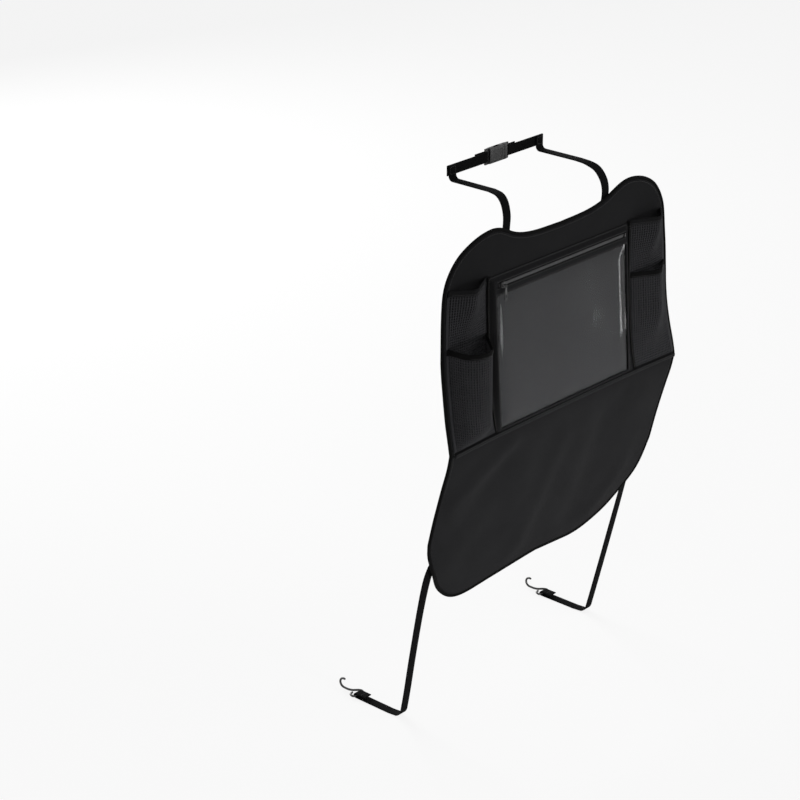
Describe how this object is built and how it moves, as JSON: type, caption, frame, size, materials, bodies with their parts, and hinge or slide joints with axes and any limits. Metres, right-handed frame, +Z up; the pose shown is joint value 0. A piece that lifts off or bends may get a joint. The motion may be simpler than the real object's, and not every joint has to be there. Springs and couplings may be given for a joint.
{
  "type": "car seat protector",
  "caption": "Hanging protector for a car seat's back with a zipped tablet pocket, net side pockets, headrest straps and lower hook straps.",
  "frame": {"origin": "in the loop of the headrest straps, on the panel's centre plane, level with the straps' underside where they lie on the seat's top", "axes": "+X across the seat to the right as seen from behind it, +Y forward to the seat, +Z up"},
  "size_m": [0.482, 0.2596, 0.7759],
  "materials": {
    "panel_fabric": "tight matt woven polyester, lightly padded",
    "pocket_fabric": "matt woven polyester",
    "binding": "plain woven tape and piping",
    "net": "knitted open net",
    "webbing": "woven strap",
    "film": "clear flexible film",
    "coil": "moulded zip coil",
    "metal": "black coated metal",
    "buckle_plastic": "fine grained moulded plastic"
  },
  "bodies": {
    "protector": {"buckle_female": "buckle_plastic", "buckle_male": "buckle_plastic", "clear_window": "film", "cross_strap_left": "webbing", "cross_strap_right": "webbing", "divider_tape_left": "binding", "divider_tape_right": "binding", "edge_piping": "binding", "headrest_strap_left": "webbing", "headrest_strap_right": "webbing", "left_front_pocket_hem": "binding", "left_front_pocket_mesh": "net", "left_tall_pocket_hem": "binding", "left_tall_pocket_mesh": "net", "lower_hook_left": "metal", "lower_hook_right": "metal", "lower_strap_left": "webbing", "lower_strap_patch_left": "pocket_fabric", "lower_strap_patch_right": "pocket_fabric", "lower_strap_right": "webbing", "main_panel": "panel_fabric", "right_front_pocket_hem": "binding", "right_front_pocket_mesh": "net", "right_tall_pocket_hem": "binding", "right_tall_pocket_mesh": "net", "tablet_pocket_frame": "pocket_fabric", "upper_strap_patch_left": "pocket_fabric", "upper_strap_patch_right": "pocket_fabric", "waist_seam_tape": "binding", "zip_coil": "coil", "zip_stop_left": "metal", "zip_stop_right": "metal", "zip_tape_lower": "binding", "zip_tape_upper": "binding"},
    "slider": {"zip_slider": "metal"},
    "pull": {"zip_pull": "metal"}
  },
  "joints": [
    {"name": "zip_slide", "type": "slide", "parent": "protector", "child": "slider", "axis": [1, 0, 0], "range_m": [0, 0.25]},
    {"name": "pull_swing", "type": "hinge", "parent": "slider", "child": "pull", "pos_m": [-0.126, -0.07758, -0.1103], "axis": [-1, 0, 0], "range_deg": [0, 150]}
  ]
}
